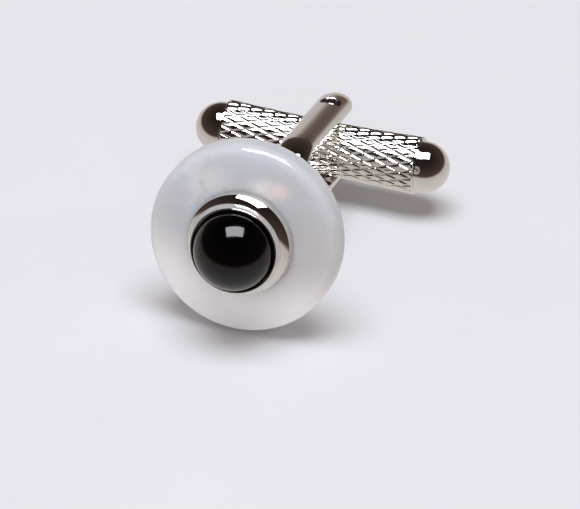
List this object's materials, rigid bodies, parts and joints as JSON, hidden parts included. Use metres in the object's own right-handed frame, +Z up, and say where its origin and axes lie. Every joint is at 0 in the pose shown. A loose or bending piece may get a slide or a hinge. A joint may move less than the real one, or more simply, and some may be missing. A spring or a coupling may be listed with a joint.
{
  "type": "cufflink",
  "caption": "Cufflink with a round mother of pearl face, a black domed stone in a polished bezel, and a knurled toggle that swivels in a forked post.",
  "frame": {"origin": "on the table, under the middle of the cufflink as it lies on the rim of its disc and the tip of its lower prong", "axes": "+Z up from the table; the face looks along -Y and a little up; the toggle lies along X"},
  "size_m": [0.0194, 0.0298, 0.014],
  "materials": {
    "mother_of_pearl": "polished shell, softly clouded",
    "onyx": "high polish",
    "polished_metal": "mirror-polished plating",
    "steel": "plain turned steel"
  },
  "bodies": {
    "head": {"pearl_disc": "mother_of_pearl", "bezel_base_ring": "polished_metal", "bezel_cup": "polished_metal", "onyx_cabochon": "onyx", "back_plate": "polished_metal", "clamp_screw": "steel", "toggle_fork": "polished_metal"},
    "toggle": {"toggle_hub": "polished_metal", "knurled_barrel_left": "polished_metal", "knurled_barrel_right": "polished_metal", "end_cap_left": "polished_metal", "end_cap_right": "polished_metal", "pivot_plunger_upper": "steel", "pivot_plunger_lower": "steel", "pivot_spring": "steel"}
  },
  "joints": [
    {"name": "toggle_pivot", "type": "hinge", "parent": "head", "child": "toggle", "pos_m": [0, 0.01227, 0.00354], "axis": [0, 0.1645, 0.9864], "range_deg": [-90, 90]}
  ]
}
